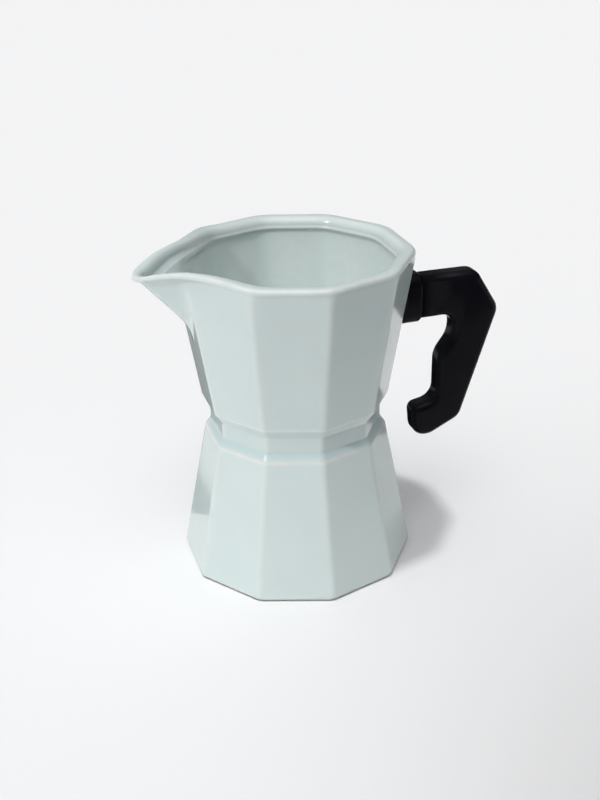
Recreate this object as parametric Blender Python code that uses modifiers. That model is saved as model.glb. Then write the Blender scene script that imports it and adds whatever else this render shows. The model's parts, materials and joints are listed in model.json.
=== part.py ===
"""A ten-sided ceramic jug in the shape of a stove-top coffee pot, with a bolted-on black grip.

Units are metres and +Z is up. The origin is on the jug's axis, in the plane that it stands on.
The grip points along +X and the spout along -X.
"""
from math import acos, atan2, cos, pi, radians, sin, sqrt, tan

import bmesh
import bpy
from mathutils import Matrix, Vector

# The jug's outer wall: circumradius and height of each corner of its profile, and the corner's rounding.
SIDES = 10
HALF_STEP = pi / SIDES
HEIGHT = 0.1305
BASE_RADIUS, BASE_ROUND = 0.04785, 0.0020
SHOULDER_RADIUS, SHOULDER_Z, SHOULDER_ROUND = 0.0367, 0.0565, 0.0011
WAIST_RADIUS, WAIST_LOW_Z, WAIST_TOP_Z, WAIST_ROUND = 0.0345, 0.0597, 0.0662, 0.0012
UPPER_RADIUS, UPPER_Z, UPPER_ROUND = 0.0376, 0.0706, 0.0010
RIM_RADIUS = 0.04775
EDGE_ROUND = 0.0045

# The wall and the hollow. Every inner radius is measured to the middle of a facet.
WALL = 0.0053
FLOOR = 0.0065
FLOOR_ROUND = 0.0090
INNER_ROUND = 0.0120
INNER_SOFTNESS = 0.42

# The rim: a rounded lip, a little thicker than the wall below it. The facets' edges soften just under it.
RIM_OUTER_ROUND = 0.0020
RIM_INNER_ROUND, RIM_INNER_DROP = 0.0032, 0.0036
RIM_OUTER_SHARE, RIM_INNER_SHARE = 0.42, 0.52
RIM_LIP, LIP_BELOW, LIP_ABOVE = 0.0013, 0.0062, 0.0037
RIM_SOFTENING, SOFTENING_START = 0.0120, 0.0060

# The spout. At each height its outline is a V with a round tip; both shrink towards the spout's root.
SPOUT_TIP_AT_RIM = 0.0646
SPOUT_KEEL_SLOPE = 0.90
SPOUT_TIP_ROUND, SPOUT_ROUND_SLOPE, SPOUT_LEAST_ROUND = 0.0082, 0.23, 0.0012
SPOUT_SIDE_NORMAL = radians(58)
SPOUT_WALL = 0.0042
SPOUT_OUTER_BLEND, SPOUT_INNER_BLEND = 0.0040, 0.0050

# The rim rises a little towards the spout, and falls at its tip.
RISE, RISE_START, RISE_END = 0.0012, 0.020, 0.038
DROOP, DROOP_START, DROOP_LENGTH = 0.0042, 0.044, 0.018
LIFT_START_Z = 0.100

# How the jug is divided: angles beside each corner and along the spout, and heights up the spout.
CORNER_COLUMN, SPOUT_COLUMN, SPOUT_COLUMNS = radians(1.9), radians(2.4), 13
LEAST_COLUMN_GAP = radians(0.7)
SPOUT_STATIONS = (0.085, 0.100, 0.106, 0.111, 0.116, 0.120)

# The grip: its outline in the XZ plane, each corner with its rounding. Its arm is cut off square.
GRIP_THICKNESS = 0.0100
GRIP_EDGE = 0.0032
ARM_START, ARM_OVERLAP = 0.0523, 0.0040
ARM_LOW, ARM_TOP = 0.0961, 0.1140
GRIP_OUTLINE = [
    (ARM_START - ARM_OVERLAP, ARM_LOW, 0),
    (0.0665, ARM_LOW, 0.0046),
    (0.0665, 0.0870, 0.0110),
    (0.0605, 0.0786, 0.0110),
    (0.0605, 0.0590, 0.0062),
    (0.0495, 0.0567, 0.0034),
    (0.0508, 0.0427, 0.0058),
    (0.0585, 0.0430, 0.0080),
    (0.0714, 0.0495, 0.0065),
    (0.0867, 0.0968, 0.0065),
    (0.0762, ARM_TOP, 0.0060),
    (ARM_START - ARM_OVERLAP, ARM_TOP, 0),
]

# The collar between the facet and the grip arm.
COLLAR_LOW, COLLAR_TOP = 0.0946, 0.1152
COLLAR_HALF_WIDTH = 0.0066
COLLAR_CORNER, COLLAR_EDGE = 0.0052, 0.0015
COLLAR_BLANK_START = 0.034
PAD_THICKNESS, PAD_INSET = 0.0008, 0.0004
GAP = 0.0003

# The fasteners, along an axis square to the facet.
BOLT_CENTRE_Z, BOLT_HALF_PITCH = 0.1079, 0.0035
SHANK_RADIUS, SHANK_HOLE = 0.00145, 0.00180
HEAD_RADIUS, HEAD_HEIGHT = 0.00275, 0.0019
SOCKET_ACROSS, SOCKET_DEPTH = 0.0020, 0.0011
SOCKET_TURN = Matrix.Rotation(radians(7.5), 4, "Z")
WASHER_RADIUS, WASHER_THICKNESS = 0.0032, 0.0008
SEAL_RADIUS, SEAL_THICKNESS = 0.0030, 0.0010
SEAL_GAP = 0.0004
INSERT_RADIUS, INSERT_HOLE, INSERT_LENGTH, INSERT_DEPTH = 0.0025, 0.0028, 0.0070, 0.0011
INSERT_HOLE_LEAD, INSERT_HOLE_SPARE, SHANK_SHORT = 0.0030, 0.0007, 0.0012
CHAMFER, WASHER_CHAMFER, INSERT_GROOVE = 0.0003, 0.0002, 0.0004
SHANK_ROUND_SEGMENTS, TURNED_SEGMENTS, DOME_STEPS = 20, 24, 5
HOLE_REACH, CUTTER_SIZE = 0.02, 0.06


# ---------------------------------------------------------------- helpers

def clear_scene():
    for obj in list(bpy.data.objects):
        bpy.data.objects.remove(obj, do_unlink=True)


def collection(name):
    found = bpy.data.collections.new(name)
    bpy.context.scene.collection.children.link(found)
    return found


def material(name, colour, roughness, metallic=0.0, coat=0.0):
    made = bpy.data.materials.new(name)
    made.use_nodes = True
    shader = made.node_tree.nodes["Principled BSDF"]
    shader.inputs["Base Color"].default_value = (*colour, 1.0)
    shader.inputs["Roughness"].default_value = roughness
    shader.inputs["Metallic"].default_value = metallic
    shader.inputs["Coat Weight"].default_value = coat
    return made


def add_object(name, mesh, finish=None):
    """A new object in the jug's collection, shaded smooth except at its edges."""
    obj = bpy.data.objects.new(name, mesh)
    PARTS.objects.link(obj)
    if finish:
        mesh.materials.append(finish)
        mesh.shade_smooth()
        mesh.set_sharp_from_angle(angle=radians(35))
    return obj


def rounded_path(corners, segments=4):
    """Points along a path of corners (a, b, rounding), with each rounded corner as an arc."""
    points = []
    count = len(corners)
    for index, (a, b, rounding) in enumerate(corners):
        corner = Vector((a, b))
        if rounding == 0:
            points.append(corner)
            continue
        before = (Vector(corners[index - 1][:2]) - corner).normalized()
        after = (Vector(corners[(index + 1) % count][:2]) - corner).normalized()
        half_angle = acos(max(-1.0, min(1.0, before.dot(after)))) / 2
        centre = corner + (before + after).normalized() * rounding / sin(half_angle)
        start = corner + before * rounding / tan(half_angle) - centre
        turn = pi - 2 * half_angle
        if before.cross(after) > 0:
            turn = -turn
        for step in range(segments + 1):
            points.append(centre + Matrix.Rotation(turn * step / segments, 2) @ start)
    return points


def cut(target, cutter):
    """Take a cutter away from a target with a Boolean modifier."""
    cutter.hide_render = True
    cutter.display_type = "WIRE"
    PARTS.objects.unlink(cutter)
    CUTTERS.objects.link(cutter)
    modifier = target.modifiers.new("cut_" + cutter.name, "BOOLEAN")
    modifier.operation = "DIFFERENCE"
    modifier.solver = "EXACT"
    modifier.object = cutter


def slab(name, outline, thickness, edge, finish=None):
    """A flat piece in the XZ plane from its outline, centred on y = 0, with its edges rounded."""
    curve = bpy.data.curves.new(name + "_outline", "CURVE")
    curve.dimensions = "2D"
    curve.fill_mode = "BOTH"
    curve.extrude = thickness / 2 - edge
    curve.bevel_depth = edge
    curve.bevel_resolution = 2
    curve.offset = -edge
    spline = curve.splines.new("POLY")
    spline.points.add(len(outline) - 1)
    for point, (x, z) in zip(spline.points, outline):
        point.co = (x, z, 0, 1)
    spline.use_cyclic_u = True
    guide = bpy.data.objects.new(name + "_outline", curve)
    PARTS.objects.link(guide)
    depsgraph = bpy.context.evaluated_depsgraph_get()
    mesh = bpy.data.meshes.new_from_object(guide.evaluated_get(depsgraph))
    mesh.name = name
    bpy.data.objects.remove(guide, do_unlink=True)
    shape = bmesh.new()
    shape.from_mesh(mesh)
    bmesh.ops.remove_doubles(shape, verts=shape.verts, dist=0.00001)
    bmesh.ops.rotate(shape, verts=shape.verts, matrix=Matrix.Rotation(pi / 2, 3, "X"))
    bmesh.ops.recalc_face_normals(shape, faces=shape.faces)
    shape.to_mesh(mesh)
    shape.free()
    return add_object(name, mesh, finish)


def turned(name, profile, segments, finish):
    """A piece turned about its own Z axis; the profile runs down its outer side, top to bottom."""
    mesh = bpy.data.meshes.new(name)
    closed = profile[0][0] > 0
    edges = [(i, i + 1) for i in range(len(profile) - 1)]
    if closed:
        edges.append((len(profile) - 1, 0))
    mesh.from_pydata([(radius, 0, z) for radius, z in profile], edges, [])
    obj = add_object(name, mesh, finish)
    screw = obj.modifiers.new("turn", "SCREW")
    screw.axis = "Z"
    screw.steps = segments
    screw.render_steps = segments
    screw.use_merge_vertices = True
    screw.merge_threshold = 0.00001
    screw.use_smooth_shade = False
    return obj


def cylinder(name, radius, low, high, segments, matrix=None):
    """A plain cylinder along Z from low to high, moved by a matrix."""
    shape = bmesh.new()
    middle = Matrix.Translation((0, 0, (low + high) / 2))
    bmesh.ops.create_cone(shape, cap_ends=True, segments=segments, radius1=radius, radius2=radius,
                          depth=high - low, matrix=(matrix or Matrix()) @ middle)
    mesh = bpy.data.meshes.new(name)
    shape.to_mesh(mesh)
    shape.free()
    return add_object(name, mesh)


# ---------------------------------------------------------------- the jug

def smooth_step(value, low, high):
    t = max(0.0, min(1.0, (value - low) / (high - low)))
    return t * t * (3 - 2 * t)


def smooth_max(a, b, blend):
    """The larger of two lengths, with a soft change from one to the other."""
    near = max(blend - abs(a - b), 0.0) / blend
    return max(a, b) + near * near * blend / 4


def facet_radius(angle, circumradius, corner):
    """Distance from the axis to a ten-sided outline with round corners; a facet faces +X."""
    from_corner = angle % (2 * HALF_STEP) - HALF_STEP
    centre = circumradius - corner / cos(HALF_STEP)
    tangent = atan2(corner * sin(HALF_STEP), centre + corner * cos(HALF_STEP))
    if abs(from_corner) < tangent:
        return centre * cos(from_corner) + sqrt(corner ** 2 - (centre * sin(from_corner)) ** 2)
    return circumradius * cos(HALF_STEP) / cos(HALF_STEP - abs(from_corner))


def spout_radius(angle, z, wall):
    """Distance from the axis to the spout's outline at a height, or to its channel inside a wall."""
    from_spout = abs((angle + 2 * pi) % (2 * pi) - pi)
    below_rim = HEIGHT - z
    tip = SPOUT_TIP_AT_RIM - SPOUT_KEEL_SLOPE * below_rim
    rounding = max(SPOUT_TIP_ROUND - SPOUT_ROUND_SLOPE * below_rim, SPOUT_LEAST_ROUND)
    side = cos(SPOUT_SIDE_NORMAL) * (tip - rounding) + rounding - wall
    rounding = max(rounding - wall, SPOUT_LEAST_ROUND)
    centre = (side - rounding) / cos(SPOUT_SIDE_NORMAL)
    if centre <= 0 or from_spout > SPOUT_SIDE_NORMAL:
        return 0.0
    reach = centre * sin(from_spout)
    if reach < rounding:
        round_tip = centre * cos(from_spout) + sqrt(rounding ** 2 - reach ** 2)
        if atan2(round_tip * sin(from_spout), round_tip * cos(from_spout) - centre) < SPOUT_SIDE_NORMAL:
            return round_tip
    return side / cos(SPOUT_SIDE_NORMAL - from_spout)


def upper_radius(z):
    """The outer circumradius of the upper body at a height."""
    return UPPER_RADIUS + (RIM_RADIUS - UPPER_RADIUS) * (z - UPPER_Z) / (HEIGHT - UPPER_Z)


def outer_radius(angle, circumradius, z):
    corner = EDGE_ROUND + RIM_SOFTENING * smooth_step(z, HEIGHT - SOFTENING_START, HEIGHT)
    body = facet_radius(angle, circumradius, corner)
    return smooth_max(body, spout_radius(angle, z, 0), SPOUT_OUTER_BLEND)


def inner_radius(angle, facet, z):
    """The hollow: its corners are much softer than the outside's, and the lip narrows it at the rim."""
    facet -= RIM_LIP * smooth_step(z, HEIGHT - LIP_BELOW, HEIGHT - LIP_ABOVE)
    body = facet_radius(angle, facet / cos(HALF_STEP), INNER_SOFTNESS * facet)
    return smooth_max(body, spout_radius(angle, z, SPOUT_WALL), SPOUT_INNER_BLEND)


def rim_lift(angle):
    """How far the rim is above its nominal height, from how far out it is towards the spout."""
    lift = 0.0
    for _ in range(6):
        out = -cos(angle) * outer_radius(angle, RIM_RADIUS, HEIGHT + lift)
        droop = DROOP * (max(out - DROOP_START, 0) / DROOP_LENGTH) ** 2
        lift = (lift + RISE * smooth_step(out, RISE_START, RISE_END) - droop) / 2
    return lift


def jug_columns():
    """The angles of the jug's columns of points: denser at each corner and along the spout."""
    angles = set()
    for side in range(SIDES):
        facet = side * 2 * HALF_STEP
        corner = facet + HALF_STEP
        angles.update((facet, corner - CORNER_COLUMN, corner, corner + CORNER_COLUMN))
    for step in range(-SPOUT_COLUMNS, SPOUT_COLUMNS + 1):
        angles.add(pi + SPOUT_COLUMN * step)
    ordered = []
    for angle in sorted(angles):
        if not ordered or angle - ordered[-1] > LEAST_COLUMN_GAP:
            ordered.append(angle)
    return ordered


def outer_profile():
    corners = [
        (0, 0, 0),
        (BASE_RADIUS, 0, BASE_ROUND),
        (SHOULDER_RADIUS, SHOULDER_Z, SHOULDER_ROUND),
        (WAIST_RADIUS, WAIST_LOW_Z, WAIST_ROUND),
        (WAIST_RADIUS, WAIST_TOP_Z, WAIST_ROUND),
        (UPPER_RADIUS, UPPER_Z, UPPER_ROUND),
        (RIM_RADIUS, HEIGHT, 0),
    ]
    points = rounded_path(corners, segments=2)[1:-1]
    for z in SPOUT_STATIONS + (HEIGHT - SOFTENING_START, HEIGHT - SOFTENING_START * 0.6):
        points.append(Vector((upper_radius(z), z)))
    return points


def inner_profile():
    """Facet radius and height down the hollow, from below the rim to the floor."""
    facet = cos(HALF_STEP)
    corners = [
        (RIM_RADIUS * facet - WALL, HEIGHT, 0),
        (UPPER_RADIUS * facet - WALL, UPPER_Z, INNER_ROUND),
        (WAIST_RADIUS * facet - WALL, (WAIST_LOW_Z + WAIST_TOP_Z) / 2, INNER_ROUND / 2),
        (SHOULDER_RADIUS * facet - WALL, SHOULDER_Z, INNER_ROUND),
        (BASE_RADIUS * facet - WALL, FLOOR, FLOOR_ROUND),
        (0, FLOOR, 0),
    ]
    points = rounded_path(corners, segments=3)[1:-1]
    lip = (HEIGHT - LIP_BELOW, HEIGHT - (LIP_BELOW + LIP_ABOVE) / 2)
    top = [Vector((upper_radius(z) * facet - WALL, z)) for z in (SPOUT_STATIONS + lip)[::-1]]
    return top + points


def jug_rings():
    """Rings of points from the foot, up the outer wall, over the rim and down the hollow."""
    columns = jug_columns()
    lifts = [rim_lift(angle) for angle in columns]

    def raised(z, lift):
        return z + lift * smooth_step(z, LIFT_START_Z, HEIGHT)

    rings = []
    for radius, z in outer_profile():
        ring = []
        for angle, lift in zip(columns, lifts):
            height = raised(z, lift)
            ring.append((outer_radius(angle, radius, height), angle, height))
        rings.append(ring)
    rings += rim_rings(columns, lifts)
    for facet, z in inner_profile():
        ring = []
        for angle, lift in zip(columns, lifts):
            height = raised(z, lift)
            ring.append((inner_radius(angle, facet, height), angle, height))
        rings.append(ring)
    return rings


def rim_rings(columns, lifts, segments=3):
    """The rounded rim: an outer quarter round, then a larger inner one."""
    rings = []
    facet = RIM_RADIUS * cos(HALF_STEP) - WALL
    for side in ("outer", "inner"):
        for step in range(segments + 1):
            turn = pi / 2 * step / segments
            ring = []
            for angle, lift in zip(columns, lifts):
                top = HEIGHT + lift
                outside = outer_radius(angle, RIM_RADIUS, top)
                inside = inner_radius(angle, facet, top)
                if side == "outer":
                    rounding = min(RIM_OUTER_ROUND, RIM_OUTER_SHARE * (outside - inside))
                    radius = outside - rounding * (1 - cos(turn))
                    height = top - rounding * (1 - sin(turn))
                else:
                    rounding = min(RIM_INNER_ROUND, RIM_INNER_SHARE * (outside - inside))
                    drop = rounding * RIM_INNER_DROP / RIM_INNER_ROUND
                    radius = inside + rounding * (1 - sin(turn))
                    height = top - drop * (1 - cos(turn))
                ring.append((radius, angle, height))
            rings.append(ring)
    return rings


def make_jug(finish):
    """Loft the jug through its rings, and close it at the foot and at the floor."""
    shape = bmesh.new()
    rings = []
    for ring in jug_rings():
        rings.append([shape.verts.new((r * cos(a), r * sin(a), z)) for r, a, z in ring])
    count = len(rings[0])
    for lower, upper in zip(rings, rings[1:]):
        for i in range(count):
            j = (i + 1) % count
            shape.faces.new((lower[i], lower[j], upper[j], upper[i]))
    shape.faces.new(rings[0][::-1])
    shape.faces.new(rings[-1])
    mesh = bpy.data.meshes.new("jug_body")
    shape.to_mesh(mesh)
    shape.free()
    return add_object("jug_body", mesh, finish)


# ---------------------------------------------------------------- the grip and its fixing

def facet_frame():
    """A frame on the grip's facet: Z points out of the facet, X runs down it."""
    slope = (RIM_RADIUS - UPPER_RADIUS) * cos(HALF_STEP) / (HEIGHT - UPPER_Z)
    facet = upper_radius(BOLT_CENTRE_Z) * cos(HALF_STEP)
    outwards = pi / 2 + atan2(slope, 1)
    return Matrix.Translation((facet, 0, BOLT_CENTRE_Z)) @ Matrix.Rotation(outwards, 4, "Y")


def arm_distance():
    """How far the arm's end is from the facet, along X, at the height of the fasteners."""
    return ARM_START - upper_radius(BOLT_CENTRE_Z) * cos(HALF_STEP)


def make_grip(finish, frame):
    outline = rounded_path(GRIP_OUTLINE)
    grip = slab("handle_grip", outline, GRIP_THICKNESS, GRIP_EDGE, finish)
    size = 2 * (ARM_TOP - ARM_LOW)
    cut(grip, box_cutter("arm_end_cut", (size, size, size),
                         Matrix.Translation((ARM_START - size / 2, 0, BOLT_CENTRE_Z))))
    low = arm_distance() - INSERT_HOLE_LEAD
    high = arm_distance() + INSERT_DEPTH + INSERT_LENGTH + INSERT_HOLE_SPARE
    for name, offset in BOLTS.items():
        hole = cylinder("insert_hole_" + name, INSERT_HOLE, low, high,
                        SHANK_ROUND_SEGMENTS, frame @ Matrix.Translation((offset, 0, 0)))
        cut(grip, hole)
    return grip


def upright_outline(low, top, half_width, corner):
    """A rounded rectangle as an outline of y and z."""
    return rounded_path([
        (half_width, low, corner),
        (half_width, top, corner),
        (-half_width, top, corner),
        (-half_width, low, corner),
    ])


def box_cutter(name, size, matrix):
    shape = bmesh.new()
    bmesh.ops.create_cube(shape, size=1, matrix=matrix @ Matrix.Diagonal((*size, 1)))
    mesh = bpy.data.meshes.new(name)
    shape.to_mesh(mesh)
    shape.free()
    return add_object(name, mesh)


def make_collar(finish, frame):
    """A rounded block whose inner end is cut parallel to the facet."""
    inner_end = COLLAR_BLANK_START
    outer_end = ARM_START - GAP
    outline = upright_outline(COLLAR_LOW, COLLAR_TOP, COLLAR_HALF_WIDTH, COLLAR_CORNER)
    collar = slab("handle_collar", outline, outer_end - inner_end, COLLAR_EDGE, finish)
    collar.rotation_euler = (0, 0, pi / 2)
    collar.location = ((outer_end + inner_end) / 2, 0, 0)
    face = PAD_THICKNESS + 2 * GAP
    beyond = box_cutter("collar_facet_cut", (CUTTER_SIZE, CUTTER_SIZE, CUTTER_SIZE / 2),
                        frame @ Matrix.Translation((0, 0, face - CUTTER_SIZE / 4)))
    cut(collar, beyond)
    for name, offset in BOLTS.items():
        hole = cylinder("collar_hole_" + name, SHANK_HOLE, -HOLE_REACH, HOLE_REACH, SHANK_ROUND_SEGMENTS,
                        frame @ Matrix.Translation((offset, 0, 0)))
        cut(collar, hole)
    return collar


def make_pad(finish, frame):
    """The thin pad between the glaze and the collar, a little smaller than the collar."""
    middle = BOLT_CENTRE_Z
    outline = upright_outline(COLLAR_LOW + PAD_INSET - middle, COLLAR_TOP - PAD_INSET - middle,
                              COLLAR_HALF_WIDTH - PAD_INSET, COLLAR_CORNER)
    pad = slab("collar_pad", outline, PAD_THICKNESS, PAD_THICKNESS / 4, finish)
    stand = Matrix.Translation((0, 0, GAP + PAD_THICKNESS / 2))
    lie = Matrix.Rotation(-pi / 2, 4, "Y") @ Matrix.Rotation(pi / 2, 4, "Z")
    pad.matrix_world = frame @ stand @ lie
    for name, offset in BOLTS.items():
        hole = cylinder("pad_hole_" + name, SHANK_HOLE, -HOLE_REACH, HOLE_REACH, SHANK_ROUND_SEGMENTS,
                        frame @ Matrix.Translation((offset, 0, 0)))
        cut(pad, hole)
    return pad


def ring_profile(outer, inner, low, high, edge):
    """A washer's section, from its outer top edge down and back up its bore."""
    return [(outer, high - edge), (outer, low + edge), (outer - edge, low), (inner, low),
            (inner, high), (outer - edge, high)]


def make_fasteners(finishes, frame):
    wall = WALL * cos(atan2((RIM_RADIUS - UPPER_RADIUS) * cos(HALF_STEP), HEIGHT - UPPER_Z))
    seal_top = -wall - SEAL_GAP
    seal_low = seal_top - SEAL_THICKNESS
    washer_top = seal_low - GAP
    washer_low = washer_top - WASHER_THICKNESS
    head_top = washer_low - GAP
    head_low = head_top - HEAD_HEIGHT
    insert_low = arm_distance() + INSERT_DEPTH
    insert_high = insert_low + INSERT_LENGTH
    shank_end = insert_high - SHANK_SHORT
    for name, offset in BOLTS.items():
        place = frame @ Matrix.Translation((offset, 0, 0))
        seal = turned("seal_" + name,
                      ring_profile(SEAL_RADIUS, SHANK_HOLE, seal_low, seal_top, CHAMFER),
                      TURNED_SEGMENTS, finishes["silicone"])
        washer = turned("washer_" + name,
                        ring_profile(WASHER_RADIUS, SHANK_HOLE, washer_low, washer_top, WASHER_CHAMFER),
                        TURNED_SEGMENTS, finishes["steel"])
        dome = []
        for step in range(1, DOME_STEPS):
            turn = pi / 2 * step / DOME_STEPS
            rise = (HEAD_HEIGHT - CHAMFER) * (1 - sin(turn))
            dome.append((HEAD_RADIUS * cos(turn), head_low + CHAMFER + rise))
        shank = [(0, shank_end), (SHANK_RADIUS - CHAMFER, shank_end),
                 (SHANK_RADIUS, shank_end - CHAMFER), (SHANK_RADIUS, head_top)]
        screw = turned("screw_" + name, shank + [(HEAD_RADIUS, head_top)] + dome + [(0, head_low)],
                       TURNED_SEGMENTS, finishes["steel"])
        insert = turned("insert_" + name, insert_profile(insert_low, insert_high),
                        TURNED_SEGMENTS, finishes["brass"])
        for piece in (seal, washer, screw, insert):
            piece.matrix_world = place
        socket = cylinder("socket_" + name, SOCKET_ACROSS / 2 / cos(pi / 6), head_low - SOCKET_DEPTH,
                          head_low + SOCKET_DEPTH, 6, place @ SOCKET_TURN)
        cut(screw, socket)


def insert_profile(low, high):
    """A threaded insert's section, with two grooves round its outside."""
    band = (high - low) / 5
    outside = [(INSERT_RADIUS, high)]
    inner = INSERT_RADIUS - INSERT_GROOVE
    for start in (1, 3):
        top, low_edge = high - start * band, high - (start + 1) * band
        outside += [(INSERT_RADIUS, top), (inner, top), (inner, low_edge), (INSERT_RADIUS, low_edge)]
    return outside + [(INSERT_RADIUS, low), (SHANK_HOLE, low), (SHANK_HOLE, high)]


# ---------------------------------------------------------------- the assembly

BOLTS = {"upper": -BOLT_HALF_PITCH, "lower": BOLT_HALF_PITCH}

clear_scene()
PARTS = collection("faceted_jug")
CUTTERS = collection("cutters")


def main():
    glaze = material("pale_glaze", (0.60, 0.69, 0.68), 0.18, coat=0.5)
    black = material("black_moulding", (0.012, 0.012, 0.014), 0.22)
    finishes = {
        "steel": material("stainless_steel", (0.62, 0.62, 0.63), 0.30, metallic=1.0),
        "silicone": material("grey_silicone", (0.20, 0.21, 0.21), 0.65),
        "brass": material("brass", (0.72, 0.55, 0.26), 0.35, metallic=1.0),
    }
    frame = facet_frame()
    jug = make_jug(glaze)
    for name, offset in BOLTS.items():
        hole = cylinder("wall_hole_" + name, SHANK_HOLE, -HOLE_REACH, HOLE_REACH, SHANK_ROUND_SEGMENTS,
                        frame @ Matrix.Translation((offset, 0, 0)))
        cut(jug, hole)
    make_grip(black, frame)
    make_collar(black, frame)
    make_pad(finishes["silicone"], frame)
    make_fasteners(finishes, frame)


main()
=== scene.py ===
"""Looks for the faceted ceramic jug: fine meshes, procedural materials, soft studio light and a camera.

Units are metres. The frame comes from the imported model: its origin is on the jug's axis at the foot,
the grip points along +X and the spout along -X.
"""
import json
from math import acos, atan2, cos, exp, pi, radians, sin, sqrt, tan

import bmesh
import bpy
from mathutils import Matrix, Vector


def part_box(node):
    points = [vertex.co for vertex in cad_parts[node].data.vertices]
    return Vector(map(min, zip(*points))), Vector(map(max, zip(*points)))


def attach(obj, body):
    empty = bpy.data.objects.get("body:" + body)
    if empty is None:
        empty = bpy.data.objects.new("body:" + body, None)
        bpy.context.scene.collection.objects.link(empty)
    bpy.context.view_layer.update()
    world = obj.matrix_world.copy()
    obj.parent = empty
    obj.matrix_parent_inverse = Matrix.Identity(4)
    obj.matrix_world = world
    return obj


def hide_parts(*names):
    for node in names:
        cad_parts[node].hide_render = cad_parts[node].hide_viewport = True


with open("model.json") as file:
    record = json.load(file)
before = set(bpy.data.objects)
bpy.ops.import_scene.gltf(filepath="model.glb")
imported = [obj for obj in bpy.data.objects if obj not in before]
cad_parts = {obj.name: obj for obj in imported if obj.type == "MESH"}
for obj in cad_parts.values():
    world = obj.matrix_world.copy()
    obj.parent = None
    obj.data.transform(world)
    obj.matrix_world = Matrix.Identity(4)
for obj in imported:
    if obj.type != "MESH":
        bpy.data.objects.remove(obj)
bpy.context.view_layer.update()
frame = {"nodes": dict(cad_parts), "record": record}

# ---------------------------------------------------------------- sizes, from the frame where it has them

grip_low, grip_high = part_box("handle_grip")
collar_low, collar_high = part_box("handle_collar")

# The jug: ten facets round profiles of corners, each a circumradius, a height and a rounding.
SIDES = 10
HALF_STEP = pi / SIDES
EDGE_ROUND = 0.0045
HEIGHT = 0.1305
BASE_RADIUS, BASE_ROUND = 0.04785, 0.0020
SHOULDER_RADIUS, SHOULDER_Z, SHOULDER_ROUND = 0.0367, 0.0565, 0.0011
WAIST_RADIUS, WAIST_LOW_Z, WAIST_TOP_Z, WAIST_ROUND = 0.0345, 0.0597, 0.0662, 0.0012
UPPER_RADIUS, UPPER_Z, UPPER_ROUND = 0.0376, 0.0706, 0.0010
RIM_RADIUS = 0.04775
WALL, FLOOR, FLOOR_ROUND = 0.0053, 0.0065, 0.0090
INNER_ROUND, INNER_SOFTNESS = 0.0120, 0.42

# The rim: a rounded lip, a little thicker than the wall below it. The facets' edges soften just under it.
RIM_OUTER_ROUND = 0.0020
RIM_INNER_ROUND, RIM_INNER_DROP = 0.0032, 0.0036
RIM_OUTER_SHARE, RIM_INNER_SHARE = 0.42, 0.52
RIM_LIP, LIP_BELOW, LIP_ABOVE = 0.0013, 0.0062, 0.0037
RIM_SOFTENING, SOFTENING_START = 0.0120, 0.0060

# The spout: at each height a V with a round tip. The rim rises a little towards it and falls at its tip.
SPOUT_TIP_AT_RIM = 0.0646
SPOUT_KEEL_SLOPE = 0.90
SPOUT_TIP_ROUND, SPOUT_ROUND_SLOPE, SPOUT_LEAST_ROUND = 0.0082, 0.23, 0.0012
SPOUT_SIDE_NORMAL = radians(58)
SPOUT_WALL = 0.0042
SPOUT_OUTER_BLEND, SPOUT_INNER_BLEND = 0.0040, 0.0050
RISE, RISE_START, RISE_END = 0.0012, 0.020, 0.038
DROOP, DROOP_START, DROOP_LENGTH = 0.0042, 0.044, 0.018
LIFT_START_Z = 0.100

# The grip's outline in the XZ plane, each corner with its rounding, then the collar and the screw holes.
GRIP_THICKNESS = grip_high[1] - grip_low[1]
GRIP_EDGE = 0.0032
ARM_START = 0.0523
ARM_OVERLAP = 0.0040
ARM_LOW, ARM_TOP = 0.0961, grip_high[2]
GRIP_OUTLINE = [
    (ARM_START - ARM_OVERLAP, ARM_LOW, 0),
    (0.0665, ARM_LOW, 0.0046),
    (0.0665, 0.0870, 0.0110),
    (0.0605, 0.0786, 0.0110),
    (0.0605, 0.0590, 0.0062),
    (0.0495, 0.0567, 0.0034),
    (0.0508, 0.0427, 0.0058),
    (0.0585, 0.0430, 0.0080),
    (0.0714, 0.0495, 0.0065),
    (0.0867, 0.0968, 0.0065),
    (0.0762, ARM_TOP, 0.0060),
    (ARM_START - ARM_OVERLAP, ARM_TOP, 0),
]
COLLAR_CORNER, COLLAR_EDGE, COLLAR_STEPS = 0.0052, 0.0015, 6
GAP, PAD_THICKNESS = 0.0003, 0.0008
PAD_GAP = PAD_THICKNESS + 2 * GAP
BOLT_CENTRE_Z = 0.1079
BOLT_OFFSETS = (-0.0035, 0.0035)
SHANK_HOLE, DRILL_SEGMENTS = 0.0018, 40
INSERT_HOLE, INSERT_LEAD, INSERT_DEPTH = 0.0028, 0.003, 0.0088
WALL_BORE, COLLAR_BORE = (-0.02, 0.01), (-0.01, 0.03)


# ---------------------------------------------------------------- shape helpers

def new_mesh_object(name, shape):
    """Turn a bmesh into a smooth-shaded object of the scene."""
    bmesh.ops.recalc_face_normals(shape, faces=shape.faces)
    mesh = bpy.data.meshes.new(name)
    shape.to_mesh(mesh)
    shape.free()
    mesh.shade_smooth()
    obj = bpy.data.objects.new(name, mesh)
    bpy.context.scene.collection.objects.link(obj)
    return obj


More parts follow.
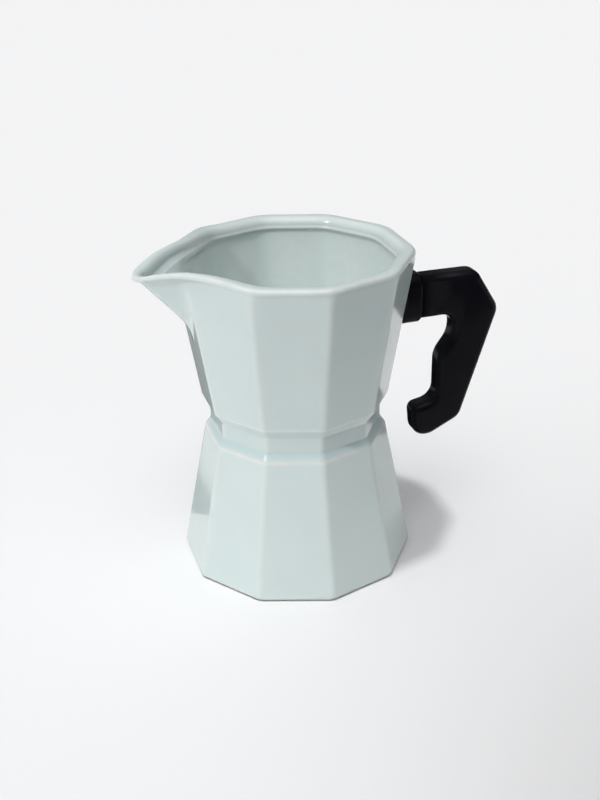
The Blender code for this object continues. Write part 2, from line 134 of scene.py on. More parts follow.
def rounded_path(corners, segments):
    """Points along corners (a, b, rounding), each rounded corner as an arc."""
    points = []
    count = len(corners)
    for index, (a, b, rounding) in enumerate(corners):
        corner = Vector((a, b))
        if rounding == 0:
            points.append(corner)
            continue
        before = (Vector(corners[index - 1][:2]) - corner).normalized()
        after = (Vector(corners[(index + 1) % count][:2]) - corner).normalized()
        half_angle = acos(max(-1.0, min(1.0, before.dot(after)))) / 2
        centre = corner + (before + after).normalized() * rounding / sin(half_angle)
        start = corner + before * rounding / tan(half_angle) - centre
        turn = pi - 2 * half_angle
        if before.cross(after) > 0:
            turn = -turn
        for step in range(segments + 1):
            points.append(centre + Matrix.Rotation(turn * step / segments, 2) @ start)
    return points


def loft(shape, rings):
    """Faces between closed rings of the same number of vertices, and over both ends."""
    count = len(rings[0])
    for lower, upper in zip(rings, rings[1:]):
        for i in range(count):
            j = (i + 1) % count
            shape.faces.new((lower[i], lower[j], upper[j], upper[i]))
    shape.faces.new(rings[0][::-1])
    shape.faces.new(rings[-1])


def smooth_step(value, low, high):
    t = max(0.0, min(1.0, (value - low) / (high - low)))
    return t * t * (3 - 2 * t)


def smooth_max(a, b, blend):
    """The larger of two lengths, with a soft change from one to the other."""
    near = max(blend - abs(a - b), 0.0) / blend
    return max(a, b) + near * near * blend / 4


def facet_frame():
    """A frame on the grip's facet: Z points out of the facet, X runs down it."""
    slope = (RIM_RADIUS - UPPER_RADIUS) * cos(HALF_STEP) / (HEIGHT - UPPER_Z)
    outwards = pi / 2 + atan2(slope, 1)
    facet = upper_radius(BOLT_CENTRE_Z) * cos(HALF_STEP)
    return Matrix.Translation((facet, 0, BOLT_CENTRE_Z)) @ Matrix.Rotation(outwards, 4, "Y")


def cut(obj, cutter):
    """Take a cutter away from a piece, for good, and remove the cutter."""
    modifier = obj.modifiers.new("cut", "BOOLEAN")
    modifier.operation = "DIFFERENCE"
    modifier.solver = "EXACT"
    modifier.object = cutter
    bpy.context.view_layer.update()
    left = bpy.data.meshes.new_from_object(obj.evaluated_get(bpy.context.evaluated_depsgraph_get()))
    obj.modifiers.clear()
    obj.data = left
    bpy.data.objects.remove(cutter)


def bore(obj, radius, low, high):
    """Drill both screw holes, square to the facet, from low to high along the screws."""
    for offset in BOLT_OFFSETS:
        shape = bmesh.new()
        place = facet_frame() @ Matrix.Translation((offset, 0, (low + high) / 2))
        bmesh.ops.create_cone(shape, cap_ends=True, segments=DRILL_SEGMENTS, depth=high - low,
                              radius1=radius, radius2=radius, matrix=place)
        cut(obj, new_mesh_object("drill", shape))


# ---------------------------------------------------------------- the jug

# Where the glaze runs thinner and where it gathers: (height, width, strength) round the body, and widths
# elsewhere. The hollow gets the pale colour too: painted light that brightens the inside.
THIN_EDGES = [(SHOULDER_Z, 0.0007, 1.0), (UPPER_Z, 0.0007, 0.8), (0.0010, 0.0010, 0.5)]
POOLED_GROOVES = [(WAIST_LOW_Z - 0.0006, 0.0012)]
# Painted light: the share of the pale colour over the whole hollow, which brightens the inside.
HOLLOW_PAINTED_LIGHT = 0.40
FACET_EDGE_WIDTH, FACET_EDGE_THIN = 0.0014, 0.30
RIM_ZONE, RIM_EDGE_WIDTH, RIM_EDGE_INSET = 0.008, 0.0008, 0.0005

# How finely the jug is divided: angles round each corner, over each facet and along the spout.
CORNER_STEP, CORNER_STEPS = radians(0.42), 6
FACET_STEP, FACET_STEPS = radians(4.2), 3
SPOUT_STEP, SPOUT_STEPS = radians(0.8), 40
LEAST_STEP = radians(0.25)
NEAR_CORNER = [0.0, 0.0004, 0.0009, 0.0015, 0.0023, 0.0035]
SHORT_STRETCH, FINE_SPACING, WIDE_SPACING = 2.4, 0.0008, 0.004
LIP_SPACING, LIP_RINGS, HOLLOW_RINGS = 0.0005, 12, 24
OUTER_CLEARANCE, INNER_CLEARANCE = 0.0006, 0.0004


def facet_radius(angle, circumradius, corner):
    """Distance from the axis to a ten-sided outline with round corners; a facet faces +X."""
    from_corner = angle % (2 * HALF_STEP) - HALF_STEP
    centre = circumradius - corner / cos(HALF_STEP)
    tangent = atan2(corner * sin(HALF_STEP), centre + corner * cos(HALF_STEP))
    if abs(from_corner) < tangent:
        return centre * cos(from_corner) + sqrt(corner ** 2 - (centre * sin(from_corner)) ** 2)
    return circumradius * cos(HALF_STEP) / cos(HALF_STEP - abs(from_corner))


def spout_radius(angle, z, wall):
    """Distance from the axis to the spout's outline at a height, or to its channel inside a wall."""
    from_spout = abs((angle + 2 * pi) % (2 * pi) - pi)
    below_rim = HEIGHT - z
    tip = SPOUT_TIP_AT_RIM - SPOUT_KEEL_SLOPE * below_rim
    rounding = max(SPOUT_TIP_ROUND - SPOUT_ROUND_SLOPE * below_rim, SPOUT_LEAST_ROUND)
    side = cos(SPOUT_SIDE_NORMAL) * (tip - rounding) + rounding - wall
    rounding = max(rounding - wall, SPOUT_LEAST_ROUND)
    centre = (side - rounding) / cos(SPOUT_SIDE_NORMAL)
    if centre <= 0 or from_spout > SPOUT_SIDE_NORMAL:
        return 0.0
    reach = centre * sin(from_spout)
    if reach < rounding:
        round_tip = centre * cos(from_spout) + sqrt(rounding ** 2 - reach ** 2)
        if atan2(round_tip * sin(from_spout), round_tip * cos(from_spout) - centre) < SPOUT_SIDE_NORMAL:
            return round_tip
    return side / cos(SPOUT_SIDE_NORMAL - from_spout)


def upper_radius(z):
    return UPPER_RADIUS + (RIM_RADIUS - UPPER_RADIUS) * (z - UPPER_Z) / (HEIGHT - UPPER_Z)


def outer_radius(angle, circumradius, z):
    """The outside; the facets' edges soften just under the rim."""
    corner = EDGE_ROUND + RIM_SOFTENING * smooth_step(z, HEIGHT - SOFTENING_START, HEIGHT)
    body = facet_radius(angle, circumradius, corner)
    return smooth_max(body, spout_radius(angle, z, 0), SPOUT_OUTER_BLEND)


def inner_radius(angle, facet, z):
    """The hollow; its wall is thicker at the rim's lip."""
    facet -= RIM_LIP * smooth_step(z, HEIGHT - LIP_BELOW, HEIGHT - LIP_ABOVE)
    body = facet_radius(angle, facet / cos(HALF_STEP), INNER_SOFTNESS * facet)
    return smooth_max(body, spout_radius(angle, z, SPOUT_WALL), SPOUT_INNER_BLEND)


def rim_lift(angle):
    """How far the rim is above its nominal height: it rises towards the spout and falls at its tip."""
    lift = 0.0
    for _ in range(12):
        out = -cos(angle) * outer_radius(angle, RIM_RADIUS, HEIGHT + lift)
        droop = DROOP * (max(out - DROOP_START, 0) / DROOP_LENGTH) ** 2
        lift = (lift + RISE * smooth_step(out, RISE_START, RISE_END) - droop) / 2
    return lift


def jug_columns():
    """Angles of the columns of points: close together round each corner and along the spout."""
    angles = set()
    for side in range(SIDES):
        facet = side * 2 * HALF_STEP
        corner = facet + HALF_STEP
        for step in range(-CORNER_STEPS, CORNER_STEPS + 1):
            angles.add(corner + CORNER_STEP * step)
        for step in range(-FACET_STEPS, FACET_STEPS + 1):
            angles.add(facet + FACET_STEP * step)
    for step in range(-SPOUT_STEPS, SPOUT_STEPS + 1):
        angles.add(pi + SPOUT_STEP * step)
    ordered = []
    for angle in sorted(angles):
        if not ordered or angle - ordered[-1] > LEAST_STEP:
            ordered.append(angle)
    return ordered


def stations(length):
    """Shares of a straight stretch: close together at its ends, where the glaze changes, then wider."""
    reach = NEAR_CORNER[-1]
    if length < SHORT_STRETCH * reach:
        count = max(1, int(length / FINE_SPACING))
        return [step / count for step in range(count)]
    middle = length - 2 * reach
    count = max(1, int(middle / WIDE_SPACING))
    inner = [reach + middle * step / count for step in range(1, count)]
    far_end = [length - place for place in NEAR_CORNER[:0:-1]]
    return [place / length for place in NEAR_CORNER + inner + far_end]


def divided(path):
    """A path's points, with stations added along each stretch."""
    points = []
    for before, after in zip(path, path[1:]):
        points += [before.lerp(after, share) for share in stations((after - before).length)]
    return points + [path[-1]]


def outer_profile():
    """Circumradius and height up the outside, from the foot to below the rim."""
    corners = [
        (0, 0, 0),
        (BASE_RADIUS, 0, BASE_ROUND),
        (SHOULDER_RADIUS, SHOULDER_Z, SHOULDER_ROUND),
        (WAIST_RADIUS, WAIST_LOW_Z, WAIST_ROUND),
        (WAIST_RADIUS, WAIST_TOP_Z, WAIST_ROUND),
        (UPPER_RADIUS, UPPER_Z, UPPER_ROUND),
        (RIM_RADIUS, HEIGHT, 0),
    ]
    path = rounded_path(corners, segments=6)[1:-1]
    start, end = path[-1].y, HEIGHT - RIM_OUTER_ROUND - OUTER_CLEARANCE
    heights = [start + (end - start) * share for share in stations(end - start)[1:]] + [end]
    return divided(path) + [Vector((upper_radius(z), z)) for z in heights]


def inner_profile():
    """Facet radius and height down the hollow, from below the rim to the floor."""
    facet = cos(HALF_STEP)
    corners = [
        (RIM_RADIUS * facet - WALL, HEIGHT, 0),
        (UPPER_RADIUS * facet - WALL, UPPER_Z, INNER_ROUND),
        (WAIST_RADIUS * facet - WALL, (WAIST_LOW_Z + WAIST_TOP_Z) / 2, INNER_ROUND / 2),
        (SHOULDER_RADIUS * facet - WALL, SHOULDER_Z, INNER_ROUND),
        (BASE_RADIUS * facet - WALL, FLOOR, FLOOR_ROUND),
        (0, FLOOR, 0),
    ]
    path = rounded_path(corners, segments=6)[1:-1]
    start, end = HEIGHT - RIM_INNER_DROP - INNER_CLEARANCE, path[0].y
    heights = [start - LIP_SPACING * step for step in range(LIP_RINGS)]
    low = heights[-1]
    heights += [low + (end - low) * step / HOLLOW_RINGS for step in range(1, HOLLOW_RINGS)]
    return [Vector((upper_radius(z) * facet - WALL, z)) for z in heights] + divided(path)


def rim_profile(angle, lift, segments=8):
    """Radius and height over the rounded rim at one angle, from outside to inside."""
    facet = RIM_RADIUS * cos(HALF_STEP) - WALL
    top = HEIGHT + lift
    outside = outer_radius(angle, RIM_RADIUS, top)
    inside = inner_radius(angle, facet, top)
    outer_round = min(RIM_OUTER_ROUND, RIM_OUTER_SHARE * (outside - inside))
    inner_round = min(RIM_INNER_ROUND, RIM_INNER_SHARE * (outside - inside))
    inner_drop = inner_round * RIM_INNER_DROP / RIM_INNER_ROUND
    points = []
    for step in range(segments + 1):
        turn = pi / 2 * step / segments
        points.append((outside - outer_round * (1 - cos(turn)), top - outer_round * (1 - sin(turn))))
    for step in range(segments + 1):
        turn = pi / 2 * step / segments
        points.append((inside + inner_round * (1 - sin(turn)), top - inner_drop * (1 - cos(turn))))
    return points


def make_jug():
    columns = jug_columns()
    lifts = [rim_lift(angle) for angle in columns]

    def raised(z, lift):
        return z + lift * smooth_step(z, LIFT_START_Z, HEIGHT)

    rings = []
    for radius, z in outer_profile():
        heights = [raised(z, lift) for lift in lifts]
        rings.append([(outer_radius(a, radius, h), h) for a, h in zip(columns, heights)])
    rims = [rim_profile(angle, lift) for angle, lift in zip(columns, lifts)]
    rings += [[rim[step] for rim in rims] for step in range(len(rims[0]))]
    for facet, z in inner_profile():
        heights = [raised(z, lift) for lift in lifts]
        rings.append([(inner_radius(a, facet, h), h) for a, h in zip(columns, heights)])

    shape = bmesh.new()
    verts = []
    for ring in rings:
        verts.append([shape.verts.new((r * cos(a), r * sin(a), h)) for (r, h), a in zip(ring, columns)])
    loft(shape, verts)
    jug = new_mesh_object("glazed_jug", shape)
    bore(jug, SHANK_HOLE, *WALL_BORE)
    mark_glaze(jug)
    return jug


def bump_at(distance, width):
    """1 at no distance, falling smoothly to 0 beyond about two widths."""
    return exp(-(distance / width) ** 2)


def mark_glaze(jug):
    """Store where the glaze runs thinner over convex edges, the hollow's painted light, and where the
    glaze gathers.
    """
    thin_glaze_and_painted_light, pool = [], []
    for vertex in jug.data.vertices:
        x, y, z = vertex.co
        angle, radius = atan2(y, x), sqrt(x * x + y * y)
        groove = 0.0
        # Painted light: the hollow is paled by a fixed share, which brightens it.
        edge = HOLLOW_PAINTED_LIGHT * smooth_step(inner_limit(z) - radius, 0.0, WALL / 2)
        if radius > inner_limit(z):
            from_corner = abs(angle % (2 * HALF_STEP) - HALF_STEP) * radius
            edge = max(strength * bump_at(z - height, width) for height, width, strength in THIN_EDGES)
            facet_edge = FACET_EDGE_THIN * bump_at(from_corner, FACET_EDGE_WIDTH)
            edge = max(edge, facet_edge * plain_body(angle, z))
            groove = max(bump_at(z - height, width) for height, width in POOLED_GROOVES)
        if z > HEIGHT - RIM_ZONE:
            top = HEIGHT + rim_lift(angle)
            outside = outer_radius(angle, RIM_RADIUS, top)
            from_rim = Vector((radius - outside + RIM_EDGE_INSET, z - top + RIM_EDGE_INSET)).length
            edge = max(edge, bump_at(from_rim, RIM_EDGE_WIDTH))
        thin_glaze_and_painted_light.append(edge)
        pool.append(groove)
    for name, values in (("thin_glaze_and_painted_light", thin_glaze_and_painted_light), ("pool", pool)):
        jug.data.attributes.new(name, "FLOAT", "POINT").data.foreach_set("value", values)


def inner_limit(z):
    """A radius inside the wall at a height, which parts the outside from the hollow."""
    corners = [(0, BASE_RADIUS), (SHOULDER_Z, SHOULDER_RADIUS), (WAIST_LOW_Z, WAIST_RADIUS),
               (WAIST_TOP_Z, WAIST_RADIUS), (UPPER_Z, UPPER_RADIUS), (HEIGHT, RIM_RADIUS)]
    for (low, below), (high, above) in zip(corners, corners[1:]):
        if z <= high:
            break
    return (below + (above - below) * (z - low) / (high - low)) * cos(HALF_STEP) - WALL / 2


def plain_body(angle, z):
    """1 on the ten-sided body, falling to 0 where the spout swallows the facets' edges."""
    body = facet_radius(angle, upper_radius(z), EDGE_ROUND) if z > UPPER_Z else 1.0
    return 1 - smooth_step(spout_radius(angle, z, 0) - body, -SPOUT_OUTER_BLEND, 0)


# ---------------------------------------------------------------- grip and collar

def make_slab(name, outline, thickness, edge, steps):
    """A flat piece in the XZ plane with rounded edges; the outline is inset round each edge."""
    count = len(outline)
    normals = []
    for i in range(count):
        along = (outline[(i + 1) % count] - outline[i - 1]).normalized()
        normals.append(Vector((along.y, -along.x)))
    area = sum(outline[i - 1].cross(outline[i]) for i in range(count))
    side = 1 if area > 0 else -1
    shape = bmesh.new()
    rings = []
    for face in (-1, 1):
        for step in range(steps + 1):
            turn = pi / 2 * (1 - step / steps if face < 0 else step / steps)
            inset = edge * (1 - cos(turn))
            y = face * (thickness / 2 - edge + edge * sin(turn))
            rings.append([
                shape.verts.new((p.x - side * n.x * inset, y, p.y - side * n.y * inset))
                for p, n in zip(outline, normals)
            ])
    loft(shape, rings)
    return new_mesh_object(name, shape)


def make_grip():
    """The hooked grip with finger notches; its arm is cut off square where it meets the collar."""
    grip = make_slab("grip", rounded_path(GRIP_OUTLINE, segments=12), GRIP_THICKNESS, GRIP_EDGE, steps=8)
    shape = bmesh.new()
    size = 4 * (ARM_TOP - ARM_LOW)
    place = Matrix.Translation((ARM_START - size / 2, 0, BOLT_CENTRE_Z))
    bmesh.ops.create_cube(shape, size=size, matrix=place)
    cut(grip, new_mesh_object("arm_end", shape))
    arm_end = ARM_START - upper_radius(BOLT_CENTRE_Z) * cos(HALF_STEP)
    bore(grip, INSERT_HOLE, arm_end - INSERT_LEAD, arm_end + INSERT_DEPTH)
    return grip


def make_collar():
    """The block between facet and arm: its inner end follows the facet, its outer end is rounded."""
    half = (collar_high[1] - collar_low[1]) / 2
    low, high = collar_low[2], collar_high[2]
    outer_end = collar_high[0]
    slope = (RIM_RADIUS - UPPER_RADIUS) * cos(HALF_STEP) / (HEIGHT - UPPER_Z)
    section = rounded_path([(half, low, COLLAR_CORNER), (half, high, COLLAR_CORNER),
                            (-half, high, COLLAR_CORNER), (-half, low, COLLAR_CORNER)], segments=10)
    middle = Vector((0, (low + high) / 2))
    shape = bmesh.new()
    rings = []
    sections = [(0.0, 0.0), (0.5, 0.0)]
    for step in range(COLLAR_STEPS + 1):
        sections.append((1.0, pi / 2 * step / COLLAR_STEPS))
    for along, turn in sections:
        ring = []
        for p in section:
            inset = COLLAR_EDGE * (1 - cos(turn))
            inner_end = upper_radius(p.y) * cos(HALF_STEP) + PAD_GAP / cos(atan2(slope, 1))
            straight_end = outer_end - COLLAR_EDGE
            x = inner_end + (straight_end - inner_end) * along + COLLAR_EDGE * sin(turn)
            inward = (middle - p).normalized() * inset
            ring.append(shape.verts.new((x, p.x + inward.x, p.y + inward.y)))
        rings.append(ring)
    loft(shape, rings)
    collar = new_mesh_object("collar", shape)
    bore(collar, SHANK_HOLE, *COLLAR_BORE)
    return collar


# ---------------------------------------------------------------- materials

# The glaze's colours, and a Mix node's two colour inputs and its colour output.
GLAZE_DEEP, GLAZE_PALE = (0.705, 0.812, 0.798), (0.735, 0.842, 0.828)
# A whiter colour for thinner glaze over edges; over the hollow it is painted light.
GLAZE_THINNER_AND_PAINTED_LIGHT = (0.90, 0.92, 0.89)
GLAZE_POOLED = (0.64, 0.79, 0.81)
BISQUE = (0.83, 0.81, 0.77)
MIX_A, MIX_B, MIX_RESULT = 6, 7, 2


def new_material(name):
    material = bpy.data.materials.new(name)
    material.use_nodes = True
    nodes = material.node_tree.nodes
    return material, nodes, material.node_tree.links, nodes["Principled BSDF"]


def noise(nodes, links, coordinates, scale, detail):
    node = nodes.new("ShaderNodeTexNoise")
    node.inputs["Scale"].default_value = scale
    node.inputs["Detail"].default_value = detail
    links.new(coordinates, node.inputs["Vector"])
    return node.outputs["Fac"]


def ramp(nodes, links, value, stops):
    node = nodes.new("ShaderNodeValToRGB")
    elements = node.color_ramp.elements
    while len(elements) < len(stops):
        elements.new(0.5)
    for element, (place, colour) in zip(elements, stops):
        element.position = place
        element.color = (*colour, 1.0)
    links.new(value, node.inputs["Fac"])
    return node.outputs["Color"]


def map_range(nodes, links, value, low, high, to_low, to_high):
    node = nodes.new("ShaderNodeMapRange")
    node.inputs["From Min"].default_value = low
    node.inputs["From Max"].default_value = high
    for socket, bound in ((node.inputs["To Min"], to_low), (node.inputs["To Max"], to_high)):
        if isinstance(bound, float):
            socket.default_value = bound
        else:
            links.new(bound, socket)
    links.new(value, node.inputs["Value"])
    return node.outputs["Result"]


def mix_colour(nodes, links, factor, a, b):
    node = nodes.new("ShaderNodeMix")
    node.data_type = "RGBA"
    links.new(factor, node.inputs["Factor"])
    for socket, colour in ((node.inputs[MIX_A], a), (node.inputs[MIX_B], b)):
        if isinstance(colour, tuple):
            socket.default_value = (*colour, 1.0)
        else:
            links.new(colour, socket)
    return node.outputs[MIX_RESULT]


def bump(nodes, links, shader, height, distance):
    node = nodes.new("ShaderNodeBump")
    node.inputs["Distance"].default_value = distance
    links.new(height, node.inputs["Height"])
    links.new(node.outputs["Normal"], shader.inputs["Normal"])


def object_place(nodes):
    return nodes.new("ShaderNodeTexCoord").outputs["Object"]


def attribute(nodes, name):
    node = nodes.new("ShaderNodeAttribute")
    node.attribute_name = name
    return node.outputs["Fac"]


def multiply(nodes, links, a, b):
    node = nodes.new("ShaderNodeMath")
    node.operation = "MULTIPLY"
    for socket, value in zip(node.inputs, (a, b)):
        if isinstance(value, float):
            socket.default_value = value
        else:
            links.new(value, socket)
    return node.outputs[0]


def glaze_material():
    """Pale grey-green gloss glaze: cloudy, whiter where it runs thinner, paler in the hollow as painted
    light, bluer in the grooves, bare at the foot.
    """
    material, nodes, links, shader = new_material("glaze")
    place = object_place(nodes)
    cloud = noise(nodes, links, place, 38.0, 4.0)
    base = ramp(nodes, links, cloud, [(0.30, GLAZE_DEEP), (0.70, GLAZE_PALE)])
    patchy = map_range(nodes, links, noise(nodes, links, place, 240.0, 3.0), 0.35, 0.65, 0.45, 0.95)
    # The pale mix: thinner glaze over edges, and painted light over the hollow.
    thin_glaze_and_painted_light = multiply(nodes, links, attribute(nodes, "thin_glaze_and_painted_light"), patchy)
    colour = mix_colour(nodes, links, thin_glaze_and_painted_light, base, GLAZE_THINNER_AND_PAINTED_LIGHT)
    pooled = multiply(nodes, links, attribute(nodes, "pool"), 0.8)
    colour = mix_colour(nodes, links, pooled, colour, GLAZE_POOLED)
    separate = nodes.new("ShaderNodeSeparateXYZ")
    links.new(place, separate.inputs[0])
    bare = map_range(nodes, links, separate.outputs["Z"], 0.0003, 0.0009, 1.0, 0.0)
    colour = mix_colour(nodes, links, bare, colour, BISQUE)
    links.new(colour, shader.inputs["Base Color"])
    fine = noise(nodes, links, place, 420.0, 2.0)
    gloss = map_range(nodes, links, fine, 0.3, 0.7, 0.09, 0.16)
    links.new(map_range(nodes, links, bare, 0.0, 1.0, gloss, 0.75), shader.inputs["Roughness"])
    ripple = noise(nodes, links, place, 95.0, 2.0)
    bump(nodes, links, shader, ripple, 0.00006)
    shader.inputs["IOR"].default_value = 1.52
    return material


def black_material():
    """Polished black moulding with faint flow marks and a slightly uneven gloss."""
    material, nodes, links, shader = new_material("black_moulding")
    place = object_place(nodes)
    cloud = noise(nodes, links, place, 60.0, 3.0)
    base = ramp(nodes, links, cloud, [(0.3, (0.0062, 0.0064, 0.0088)), (0.7, (0.0080, 0.0082, 0.0110))])
    links.new(base, shader.inputs["Base Color"])
    fine = noise(nodes, links, place, 900.0, 2.0)
    links.new(map_range(nodes, links, fine, 0.3, 0.7, 0.13, 0.22), shader.inputs["Roughness"])
    bump(nodes, links, shader, noise(nodes, links, place, 160.0, 2.0), 0.00003)
    shader.inputs["Specular IOR Level"].default_value = 0.07
    return material


def metal_material(name, colours, gloss, grain):
    """Bare turned metal: fine grain stretched round the axis, with uneven gloss."""
    material, nodes, links, shader = new_material(name)
    place = object_place(nodes)
    stretched = nodes.new("ShaderNodeMapping")
    stretched.inputs["Scale"].default_value = (1.0, 0.12, 1.0)
    links.new(place, stretched.inputs["Vector"])
    streaks = noise(nodes, links, stretched.outputs["Vector"], grain, 4.0)
    base = ramp(nodes, links, streaks, [(0.3, colours[0]), (0.7, colours[1])])
    links.new(base, shader.inputs["Base Color"])
    links.new(map_range(nodes, links, streaks, 0.3, 0.7, *gloss), shader.inputs["Roughness"])
    bump(nodes, links, shader, streaks, 0.00001)
    shader.inputs["Metallic"].default_value = 1.0
    return material


def silicone_material():
    """Matt grey silicone with a fine dusty grain."""
    material, nodes, links, shader = new_material("silicone")
    place = object_place(nodes)
    grain = noise(nodes, links, place, 1400.0, 3.0)
    links.new(ramp(nodes, links, grain, [(0.3, (0.17, 0.18, 0.18)), (0.7, (0.22, 0.23, 0.23))]),
              shader.inputs["Base Color"])
    links.new(map_range(nodes, links, grain, 0.3, 0.7, 0.55, 0.72), shader.inputs["Roughness"])
    bump(nodes, links, shader, grain, 0.00001)
    return material


def floor_material():
    """Matt white."""
    material, _, _, shader = new_material("studio_floor")
    shader.inputs["Base Color"].default_value = FLOOR_COLOUR
    shader.inputs["Roughness"].default_value = 1.0
    shader.inputs["Specular IOR Level"].default_value = 0.0
    return material


def flag_material():
    """Black cloth."""
    material, _, _, shader = new_material("flag_cloth")
    shader.inputs["Base Color"].default_value = (0.01, 0.01, 0.01, 1.0)
    shader.inputs["Specular IOR Level"].default_value = 0.0
    return material


def backdrop_material():
    """A plain pale glow, as bright as the floor."""
    material, _, _, shader = new_material("backdrop")
    shader.inputs["Base Color"].default_value = (0.0, 0.0, 0.0, 1.0)
    shader.inputs["Specular IOR Level"].default_value = 0.0
    shader.inputs["Emission Color"].default_value = BACKDROP_COLOUR
    shader.inputs["Emission Strength"].default_value = 1.0
    return material


# ---------------------------------------------------------------- the studio

# The lamps: azimuth, elevation, strength and spread. The panels: azimuth, elevation, sharpness, strength.
KEY = (-157.0, 40.0, 1.15, 5.0)
FLOOR_LIGHT = (-157.0, 78.0, 1.10, 4.0)
PANEL_COLOUR = (0.99, 0.993, 1.0, 1.0)
PANELS = [
    (-120.0, 60.0, 10.0, 0.85),
    (-107.0, 75.0, 10.0, 2.35),
    (90.0, 45.0, 4.0, 0.45),
]
FLOOR_HALF_SIZE = 8.0
FLOOR_COLOUR = (0.95, 0.95, 0.955, 1.0)
FLAG_AZIMUTH, FLAG_DISTANCE, FLAG_CENTRE_Z = -62.0, 0.24, 0.180
FLAG_SIZE = (0.28, 0.32)
BACKDROP_RADIUS, BACKDROP_HEIGHT, BACKDROP_SEGMENTS = 7.5, 6.0, 64
BACKDROP_COLOUR = (0.87, 0.875, 0.88, 1.0)
# The card for painted shade in reflections: its centre and size.
CARD_CENTRE, CARD_SIZE = (0.005, 0.18, 0.001), (0.15, 0.28)


def make_floor():
    shape = bmesh.new()
    bmesh.ops.create_grid(shape, x_segments=1, y_segments=1, size=FLOOR_HALF_SIZE)
    floor = new_mesh_object("studio_floor", shape)
    floor.data.materials.append(floor_material())
    return floor


def direction(azimuth, elevation):
    """Unit vector towards a place in the studio; azimuth is counted from +X in the jug's frame."""
    azimuth, elevation = radians(azimuth), radians(elevation)
    return Vector((cos(elevation) * cos(azimuth), cos(elevation) * sin(azimuth), sin(elevation)))


def make_flag():
    """A black cloth to the right, out of the picture, which keeps the floor's light off that side."""
    shape = bmesh.new()
    outward = direction(FLAG_AZIMUTH, 0.0)
    place = Matrix.Translation(outward * FLAG_DISTANCE + Vector((0, 0, FLAG_CENTRE_Z)))
    turn = outward.to_track_quat("Z", "Y").to_matrix().to_4x4()
    bmesh.ops.create_grid(shape, x_segments=1, y_segments=1, size=0.5,
                          matrix=place @ turn @ Matrix.Diagonal((*FLAG_SIZE, 1, 1)))
    flag = new_mesh_object("studio_flag", shape)
    flag.data.materials.append(flag_material())
    flag.visible_camera = False


def make_backdrop():
    """A pale wall far behind the floor, all the way round. It is only seen, and lights nothing."""
    shape = bmesh.new()
    bmesh.ops.create_cone(shape, segments=BACKDROP_SEGMENTS, depth=BACKDROP_HEIGHT,
                          radius1=BACKDROP_RADIUS, radius2=BACKDROP_RADIUS,
                          matrix=Matrix.Translation((0, 0, BACKDROP_HEIGHT / 2)))
    backdrop = new_mesh_object("studio_backdrop", shape)
    backdrop.data.materials.append(backdrop_material())
    backdrop.visible_diffuse = False
    backdrop.visible_glossy = False
    backdrop.visible_shadow = False


def make_reflected_shade_card():
    """A dark card on the floor behind the jug, which shows only in reflections: painted shade in the
    glaze's reflections, where the floor behind the jug would lie in shadow.
    """
    shape = bmesh.new()
    bmesh.ops.create_grid(shape, x_segments=1, y_segments=1, size=0.5,
                          matrix=Matrix.Translation(CARD_CENTRE) @ Matrix.Diagonal((*CARD_SIZE, 1, 1)))
    card = new_mesh_object("studio_reflected_shade_card", shape)
    card.data.materials.append(flag_material())
    card.visible_camera = False
    card.visible_diffuse = False
    card.visible_shadow = False


def make_sun(name, azimuth, elevation, strength, spread):
    lamp = bpy.data.lights.new(name, "SUN")
    lamp.energy = strength
    lamp.angle = radians(spread)
    obj = bpy.data.objects.new(name, lamp)
    bpy.context.scene.collection.objects.link(obj)
    obj.rotation_euler = direction(azimuth, elevation).to_track_quat("Z", "Y").to_euler()
    return obj


def group_of(name, objects):
    group = bpy.data.collections.new(name)
    for obj in objects:
        group.objects.link(obj)
    return group


def light_only(lamp, objects):
    """Keep a lamp's light to some objects, as flags and cutters do in a studio."""
    lamp.light_linking.receiver_collection = group_of(lamp.name + "_lights", objects)


def shadow_only(lamp, objects):
    """Let only some objects cast this lamp's shadow."""
    lamp.light_linking.blocker_collection = group_of(lamp.name + "_shadows", objects)


def make_world():
    """A dark room with softly edged bright panels in it."""
    world = bpy.data.worlds.new("studio")
    bpy.context.scene.world = world
    world.use_nodes = True
    nodes, links = world.node_tree.nodes, world.node_tree.links
    look = nodes.new("ShaderNodeTexCoord").outputs["Generated"]
    total = None
    for azimuth, elevation, sharpness, strength in PANELS:
        aligned = nodes.new("ShaderNodeVectorMath")
        aligned.operation = "DOT_PRODUCT"
        links.new(look, aligned.inputs[0])
        aligned.inputs[1].default_value = direction(azimuth, elevation)
        ahead = nodes.new("ShaderNodeMath")
        ahead.operation = "MAXIMUM"
        links.new(aligned.outputs["Value"], ahead.inputs[0])
        ahead.inputs[1].default_value = 0.0
        lobe = nodes.new("ShaderNodeMath")
        lobe.operation = "POWER"
        links.new(ahead.outputs[0], lobe.inputs[0])
        lobe.inputs[1].default_value = sharpness
        added = nodes.new("ShaderNodeMath")
        added.operation = "MULTIPLY_ADD"
        links.new(lobe.outputs[0], added.inputs[0])
        added.inputs[1].default_value = strength
        if total is None:
            added.inputs[2].default_value = 0.0
        else:
            links.new(total, added.inputs[2])
        total = added.outputs[0]
    background = nodes["Background"]
    background.inputs["Color"].default_value = PANEL_COLOUR
    links.new(total, background.inputs["Strength"])


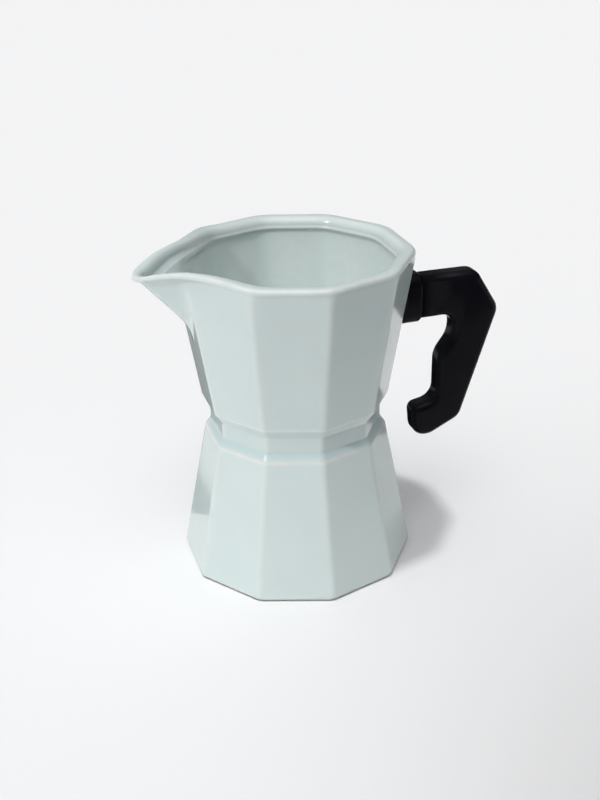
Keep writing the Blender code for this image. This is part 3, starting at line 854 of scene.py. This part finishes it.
def make_camera():
    """A camera 436 mm from the axis and 278 mm up, looking at the middle of the jug."""
    azimuth = radians(-16.96)
    distance, height, aim_height = 0.436, 0.278, 0.065
    data = bpy.data.cameras.new("camera")
    data.sensor_width = 36.0
    data.lens = 54.05
    data.shift_x = 0.00625
    data.shift_y = 0.00425
    data.clip_start = 0.01
    camera = bpy.data.objects.new("camera", data)
    bpy.context.scene.collection.objects.link(camera)
    camera.location = (distance * sin(azimuth), -distance * cos(azimuth), height)
    look = Vector((0, 0, aim_height)) - camera.location
    roll = Matrix.Rotation(radians(-0.97), 3, "Z")
    camera.rotation_euler = (look.to_track_quat("-Z", "Y").to_matrix() @ roll).to_euler()
    bpy.context.scene.camera = camera


# ---------------------------------------------------------------- assembly

make_camera()
make_world()
floor = make_floor()
make_backdrop()
make_flag()
make_reflected_shade_card()
key = make_sun("key", *KEY)
floor_light = make_sun("floor_light", *FLOOR_LIGHT)
light_only(floor_light, [floor])

FINISHES = {
    "glaze": glaze_material(),
    "black_moulding": black_material(),
    "silicone": silicone_material(),
    "stainless_steel": metal_material("stainless_steel", [(0.52, 0.52, 0.53), (0.66, 0.66, 0.67)],
                                      (0.22, 0.36), 900.0),
    "brass": metal_material("brass", [(0.64, 0.47, 0.22), (0.76, 0.59, 0.30)], (0.26, 0.40), 900.0),
}


def stand_in(piece, node, slot):
    """Put a fine piece in the place of a node, on the part's one body."""
    piece.data.materials.clear()
    piece.data.materials.append(FINISHES[slot])
    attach(piece, "root")
    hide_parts(node)


jug = make_jug()
shadow_only(floor_light, [jug])
stand_in(jug, "jug_body", "glaze")
stand_in(make_grip(), "handle_grip", "black_moulding")
stand_in(make_collar(), "handle_collar", "black_moulding")

for part in frame["record"]["subparts"]:
    if not frame["nodes"][part["node"]].hide_render:
        for material_slot in frame["nodes"][part["node"]].material_slots:
            material_slot.material = FINISHES[part["material_slot"]]

light_only(key, [obj for obj in bpy.context.scene.objects if obj.type == "MESH" and obj != floor])

bpy.context.scene.view_settings.view_transform = "Standard"
